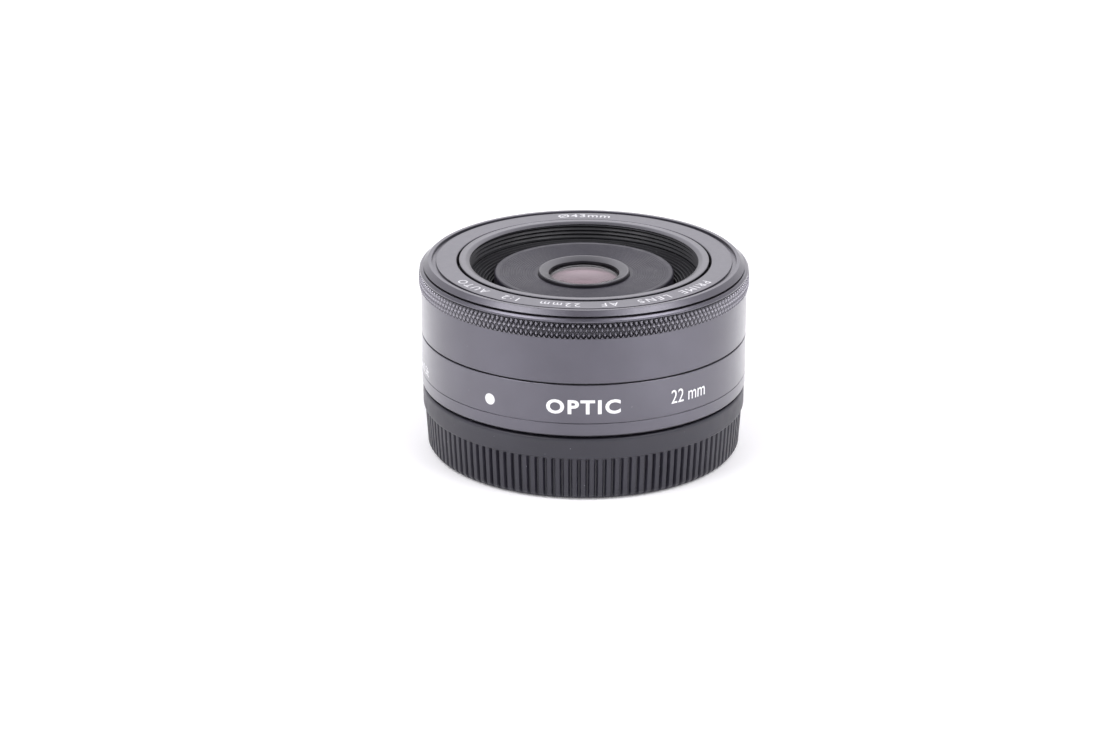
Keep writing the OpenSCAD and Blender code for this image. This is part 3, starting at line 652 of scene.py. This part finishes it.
def filter_thread():
    """Inner skin of the barrel with the turns of the thread, as a closed ring.

    Points past either end are held at that end, and a face is made only where its corners are apart."""
    work = bmesh.new()
    turns = math.ceil((THREAD_HIGH - THREAD_LOW) / THREAD_PITCH) + 1
    columns = []
    for i in range(SEGMENTS + 1):
        angle = TURN * i / SEGMENTS
        line = []
        for k in range(-THREAD_SAMPLES, turns * THREAD_SAMPLES + 1):
            z = THREAD_LOW + THREAD_PITCH * (k / THREAD_SAMPLES + i / SEGMENTS)
            z = min(max(z, THREAD_LOW), THREAD_HIGH)
            run_out = min(1, (z - THREAD_LOW) / THREAD_RUN_OUT, (THREAD_HIGH - z) / THREAD_RUN_OUT)
            groove = 1 - abs(2 * (k % THREAD_SAMPLES) / THREAD_SAMPLES - 1)
            line.append(work.verts.new(polar(THREAD_CORE + THREAD_DEPTH * run_out * groove, z, angle)))
        line += [work.verts.new(polar(THREAD_BACK_R, z, angle)) for z in (THREAD_HIGH, THREAD_LOW)]
        columns.append(line)
    for this, following in zip(columns, columns[1:]):
        count = len(this)
        for k in range(count):
            n = (k + 1) % count
            corners = (this[k], following[k], following[n], this[n])
            if len({tuple(round(x, 8) for x in corner.co) for corner in corners}) > 2:
                work.faces.new(corners)
    return finished("filter_thread", work, 50)


# Outside of the moving barrel
TUBE_R = 22.9
# The web that carries the lens cells: its bore, underside and top
WEB_BORE, WEB_LOW, WEB_HIGH = 12.45, 22.6, 23.6


def lens_barrel():
    """Moving barrel: its outside and the thread inside it in near black as painted shade, and its rim in
    the barrel's own colour.
    """
    shell = turned("moving_barrel_skin", rounded([
        (WEB_BORE, WEB_LOW), (TUBE_R, WEB_LOW, 0.1), (TUBE_R, TOP - 0.3), (21.7, TOP - 0.3),
        (21.7, THREAD_LOW), (21.4, THREAD_LOW - 0.02), (21.4, WEB_HIGH), (WEB_BORE, WEB_HIGH)]))
    # Outer wall in near black: painted shade for the gap between the moving barrel and the front ring
    settle(shell, MATERIALS["painted_shade_wall"], "lens_unit", "lens_barrel", "inner_barrel")
    rim = turned("moving_barrel_rim", rounded([
        (22.85, TOP - 0.28), (23.05, TOP - 0.24), (23.08, TOP - 0.08, 0.06), (TUBE_R, TOP, 0.08),
        (21.9, TOP, 0.2), (21.12, TOP - 0.4, 0.08), (21.72, TOP - 0.42)]))
    settle(rim, MATERIALS["lens_barrel"], "lens_unit", "lens_barrel", "inner_barrel")
    # Thread in near black: painted shade inside the barrel's recess
    settle(filter_thread(), MATERIALS["painted_shade_wall"], "lens_unit", "lens_barrel", "inner_barrel")


def light_trap():
    """Stepped ridges that fall from the thread towards the front disc."""
    ridges, outer, inner, top, drop = 7, 21.3, 17.3, TOP - 3.4, 1.5
    step = (outer - inner) / ridges
    # One ridge's corners: share of the step, depth below the crest, edge rounding
    ridge = [(0.02, 0.45, 0.02), (0.2, 0, 0.08), (0.5, 0, 0.06), (0.62, 0.45, 0.02)]
    slope = [(outer - (k + share) * step, top - drop * k / (ridges - 1) - depth, edge)
             for k in range(ridges) for share, depth, edge in ridge]
    bottom = [(inner, top - drop - 0.5, 0.05), (inner, top - 3)]
    piece = turned("light_trap_skin", rounded([(outer, top - 3), *slope, *bottom], 3))
    settle(piece, MATERIALS["black_plastic"], "lens_unit", "black_plastic", "light_trap_ring")


def front_disc():
    """Disc round the front glass, with fine concentric grooves."""
    inner, outer, seat_r, seat_z = 8.5, 16.6, 16, 31
    grooves, pitch, depth, first = 14, 0.46, 0.07, 15.5
    # The grooved face falls towards the glass from here
    crown_r, crown_z, fall = 15.6, TOP - 2.55, 0.062
    face = []
    for k in range(grooves):
        r = first - k * pitch
        z = crown_z - (crown_r - r) * fall
        face += [(r, z, 0.05), (r - 0.12, z - depth, 0.03),
                 (r - 0.26, z - depth, 0.03), (r - 0.38, z, 0.05)]
    piece = turned("front_disc_skin", rounded([
        (inner, 32.75), (seat_r, 33.05), (seat_r, seat_z), (outer, seat_z), (outer, TOP - 2.7, 0.1),
        (16.35, TOP - 2.42, 0.15), (15.8, TOP - 2.48, 0.1), *face, (inner, TOP - 3)], 2))
    settle(piece, MATERIALS["front_disc"], "lens_unit", "front_disc", "front_cover")


def nose_ring():
    """Rounded ring that holds the front glass."""
    glass_r, outer, low = 7.95, 8.45, 32.7
    piece = turned("nose_ring_skin", rounded([
        (6.5, TOP - 3.3), (glass_r, TOP - 3.25), (glass_r, low), (outer, low), (outer, TOP - 2.55, 0.1),
        (8.3, TOP - 2.3, 0.12), (8.05, TOP - 2.31, 0.12), (6.54, TOP - 2.83, 0.04)]), crease=40)
    settle(piece, MATERIALS["nose_metal"], "lens_unit", "lens_barrel", "nose_ring")


def front_glass():
    """Front element with two true spherical faces."""
    radius, steps = 7.9, 24
    front_z, front_curve = 33.9, 20
    back_z, back_curve = 30.9, 60

    def sphere(vertex, curve, r):
        return vertex - (curve - math.sqrt(curve * curve - r * r))

    rings = [radius * math.sin(math.pi / 2 * k / steps) for k in range(steps + 1)]
    back = [(r, sphere(back_z, back_curve, r)) for r in rings]
    front = [(r, sphere(front_z, front_curve, r)) for r in reversed(rings)]
    piece = turned("front_glass", back + front, 192, crease=40)
    settle(piece, MATERIALS["optical_glass"], "lens_unit", "optical_glass", "lens_element_1")


# ---------------------------------------------------------------- lettering

PRINT_THICKNESS = 0.03
# How far the print's middle stands off the surface
PRINT_LIFT = PRINT_THICKNESS / 4
# Height of a capital against the size of the type
CAPITAL_SHARE = 0.7
# Width of the strips that let the lettering bend
STRIP = 0.5
# Radius of the middle of the words on the front ring
FACE_PRINT_R = 25.5


def flat_text(words, height, width, weight, spacing):
    """Text as a thin mesh in millimetres, centred on the origin, cut into strips so that it can be bent."""
    curve = bpy.data.curves.new("lettering", "FONT")
    curve.body = words
    curve.size = height / CAPITAL_SHARE
    curve.align_x = "CENTER"
    curve.align_y = "CENTER"
    curve.offset = weight
    curve.extrude = PRINT_THICKNESS / 2
    curve.space_character = spacing
    curve.resolution_u = 4
    holder = new_object("lettering", curve)
    bpy.context.view_layer.update()
    mesh = bpy.data.meshes.new_from_object(holder.evaluated_get(bpy.context.evaluated_depsgraph_get()))
    bpy.data.objects.remove(holder)
    work = bmesh.new()
    work.from_mesh(mesh)
    bpy.data.meshes.remove(mesh)
    low = min(v.co.x for v in work.verts)
    high = max(v.co.x for v in work.verts)
    for v in work.verts:
        v.co.x = ((v.co.x - low) / (high - low) - 0.5) * width
    for k in range(1, math.ceil(width / STRIP)):
        geometry = [*work.verts, *work.edges, *work.faces]
        cut = (k * STRIP - width / 2, 0, 0)
        bmesh.ops.bisect_plane(work, geom=geometry, plane_co=cut, plane_no=(1, 0, 0))
    return work


def print_on_barrel(name, words, azimuth, z, height, width, weight=0.0, spacing=1.0):
    """Text wrapped round the marked barrel."""
    work = flat_text(words, height, width, weight, spacing)
    for v in work.verts:
        angle = on_surface(azimuth, v.co.x, BODY_R)
        v.co = polar(BODY_R + v.co.z + PRINT_LIFT, z + v.co.y, angle)
    settle(finished(name, work, 30), MATERIALS["white_print"], "barrel", "marked_barrel")


def print_on_face(name, words, azimuth, height, width, weight=0.0, spacing=1.0):
    """Text on the front ring, its tops towards the rim."""
    work = flat_text(words, height, width, weight, spacing)
    for v in work.verts:
        angle = on_surface(azimuth, -v.co.x, FACE_PRINT_R)
        v.co = polar(FACE_PRINT_R + v.co.y, FACE_Z + v.co.z + PRINT_LIFT, angle)
    settle(finished(name, work, 30), MATERIALS["grey_print"], "barrel", "front_ring")


def index_dot():
    """Domed white dot that lines the lens up with a camera's mount."""
    work = bmesh.new()
    steps, around, radius, rise, sunk = 6, 40, 1.05, 0.14, 0.2
    azimuth, height = -33.8, 17.95
    # The last ring stops just short of the middle, and its own face closes it
    last = 0.999
    rings = []
    for k in range(steps + 1):
        share = k / steps
        flat_r = radius * math.cos(math.pi / 2 * share * last)
        lift = rise * math.sin(math.pi / 2 * share)
        rings.append([(flat_r * math.cos(TURN * i / around), flat_r * math.sin(TURN * i / around), lift)
                      for i in range(around)])
    rings.insert(0, [(x, y, -sunk) for x, y, _ in rings[0]])
    rows = [[work.verts.new(polar(BODY_R + lift, height + y, on_surface(azimuth, x, BODY_R)))
             for x, y, lift in ring] for ring in rings]
    capped_tube(work, rows)
    settle(finished("index_dot", work, 50), MATERIALS["white_print"], "barrel", "marked_barrel")


def lettering():
    """Generic words and the lens's figures, on the marked barrel and the front ring."""
    print_on_barrel("print_word", "OPTIC", azimuth=0, z=18.25,
                    height=2.5, width=13.4, weight=0.12, spacing=1.2)
    print_on_barrel("print_focal_length", "22 mm", azimuth=39, z=18.5, height=2.6, width=7.9)
    print_on_barrel("print_near_limit", "0.15m/0.5ft", azimuth=-80, z=16.9, height=1.7, width=9.6)
    print_on_face("print_front_words", "PRIME  LENS   AF   22mm   1:2   AUTO", azimuth=0,
                  height=1.75, width=54, spacing=1.3)
    print_on_face("print_filter_size", "Ø43mm", azimuth=180,
                  height=1.75, width=10, weight=0.02, spacing=1.1)


# ---------------------------------------------------------------- inside

def flex_ribbon():
    """Ribbon between the main board and the iris, built as one straight strip attached to no body; on the
    lens it stretches as the lens unit moves forward.
    """
    low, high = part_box("iris_flex")
    centre = (low + high) / 2
    angle = math.radians(40)
    outward = Vector((math.cos(angle), math.sin(angle), 0))
    sideways = Vector((-math.sin(angle), math.cos(angle), 0))
    half_width, thickness, steps = 2.1 * MM, 0.1 * MM, 24
    base = Vector((centre.x, centre.y, 0))
    work = bmesh.new()
    rows = []
    for k in range(steps + 1):
        share = k / steps
        level = Vector((0, 0, low.z + (high.z - low.z) * share))
        corners = []
        for side, depth in ((-1, -1), (1, -1), (1, 1), (-1, 1)):
            flat = base + sideways * half_width * side + outward * thickness / 2 * depth
            corners.append(work.verts.new(flat + level))
        rows.append(corners)
    capped_tube(work, rows)
    piece = finished("flex_ribbon", work)
    piece.data.materials.append(MATERIALS["flex_film"])
    piece.modifiers.clear()
    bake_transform(piece)
    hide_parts("iris_flex")


# ---------------------------------------------------------------- studio

CAMERA_TARGET = Vector((0, 0, 21.2 * MM))
CAMERA_DISTANCE = 581.4 * MM
CAMERA_ELEVATION = math.radians(20.17)
# In millimetres, as Blender's camera takes them
FOCAL_LENGTH = 102.07
SENSOR_WIDTH = 36
# How far the lens stands right of and above the middle, as shares of the frame's width
OFFSET_RIGHT, OFFSET_UP = 0.0305, 0.0296


def camera():
    """Camera above the near side, aimed beside and below the lens, which stands off the frame's middle."""
    data = bpy.data.cameras.new("camera")
    data.lens = FOCAL_LENGTH
    data.sensor_width = SENSOR_WIDTH
    data.clip_start = 0.01
    view = new_object("camera", data)
    up = Vector((0, math.sin(CAMERA_ELEVATION), math.cos(CAMERA_ELEVATION)))
    back = Vector((0, -math.cos(CAMERA_ELEVATION), math.sin(CAMERA_ELEVATION)))
    view.location = CAMERA_TARGET + back * CAMERA_DISTANCE
    frame_width = CAMERA_DISTANCE * SENSOR_WIDTH / FOCAL_LENGTH
    aim = CAMERA_TARGET - Vector((frame_width * OFFSET_RIGHT, 0, 0)) - up * frame_width * OFFSET_UP
    view.rotation_euler = (aim - view.location).to_track_quat("-Z", "Y").to_euler()
    bpy.context.scene.camera = view


BOX_SIZE = (0.55, 0.35)
POOL_SPREAD = math.radians(13)


def floor_pool(name, place, power):
    """Spot that brightens a patch of floor straight below it, for the barrel to mirror."""
    data = bpy.data.lights.new(name, "SPOT")
    data.energy = power
    data.spot_size = POOL_SPREAD
    data.spot_blend = 1
    data.shadow_soft_size = 0.05
    light = new_object(name, data)
    light.location = place


def soft_box(name, place, aim, power):
    """Broad, faintly violet lamp."""
    data = bpy.data.lights.new(name, "AREA")
    data.shape = "RECTANGLE"
    data.size, data.size_y = BOX_SIZE
    data.energy = power
    data.color = (0.985, 0.97, 1)
    light = new_object(name, data)
    light.location = place
    light.rotation_euler = (Vector(aim) - Vector(place)).to_track_quat("-Z", "Y").to_euler()


# Where the walls end and the ceiling begins, as sines of the elevation, and how bright each is
CEILING = (0.6, 0.88, 0.95, 0.05)
# The glow behind the lens: cosines of its outer and inner spread, and how bright it is there
GLOW = (0.86, 0.995, 0, 1.6)
GLOW_ELEVATION = math.radians(48)


def ranged(world, value, limits):
    """The value eased from the first pair of limits to the second."""
    made = world.node_tree.nodes.new("ShaderNodeMapRange")
    made.interpolation_type = "SMOOTHSTEP"
    for socket, number in zip(("From Min", "From Max", "To Min", "To Max"), limits):
        made.inputs[socket].default_value = number
    world.node_tree.links.new(value, made.inputs["Value"])
    return made.outputs["Result"]


def surroundings():
    """White walls up to a dark ceiling, with a soft glow high behind the lens."""
    world = bpy.data.worlds.new("surroundings")
    bpy.context.scene.world = world
    world.use_nodes = True
    nodes = world.node_tree.nodes
    links = world.node_tree.links
    background = nodes["Background"]
    background.inputs["Color"].default_value = (0.97, 0.955, 1, 1)
    direction = nodes.new("ShaderNodeTexCoord").outputs["Generated"]
    split = nodes.new("ShaderNodeSeparateXYZ")
    links.new(direction, split.inputs[0])
    facing = nodes.new("ShaderNodeVectorMath")
    facing.operation = "DOT_PRODUCT"
    links.new(direction, facing.inputs[0])
    facing.inputs[1].default_value = (0, math.cos(GLOW_ELEVATION), math.sin(GLOW_ELEVATION))
    total = nodes.new("ShaderNodeMath")
    total.operation = "ADD"
    links.new(ranged(world, split.outputs["Z"], CEILING), total.inputs[0])
    links.new(ranged(world, facing.outputs["Value"], GLOW), total.inputs[1])
    links.new(total.outputs[0], background.inputs["Strength"])


def studio_floor():
    """Plain white paper that gives off a little light of its own."""
    mesh = bpy.data.meshes.new("floor")
    work = bmesh.new()
    bmesh.ops.create_grid(work, x_segments=8, y_segments=8, size=3)
    work.to_mesh(mesh)
    work.free()
    floor = new_object("floor", mesh)
    paper = principled("floor_paper", (0.95, 0.95, 0.95), 0.9, Specular_IOR_Level=0.1,
                       Emission_Color=(1, 1, 1, 1), Emission_Strength=0.12)
    floor.data.materials.append(paper)


def studio():
    """Floor, surroundings, a soft box at each side and two bright patches of floor."""
    studio_floor()
    surroundings()
    aim = (0, 0, 20 * MM)
    soft_box("left_box", (-0.43, -0.2, 0.77), aim, 4)
    soft_box("right_box", (0.43, -0.2, 0.77), aim, 4)
    floor_pool("left_pool", (-0.095, -0.065, 0.5), 9)
    floor_pool("right_pool", (0.09, -0.075, 0.5), 14)
    bpy.context.scene.view_settings.view_transform = "Standard"


camera()
studio()
dress_cad_nodes()
rear_cap()
fixed_shells()
focus_ring()
name_ring()
lens_barrel()
light_trap()
front_disc()
nose_ring()
front_glass()
index_dot()
lettering()
flex_ribbon()
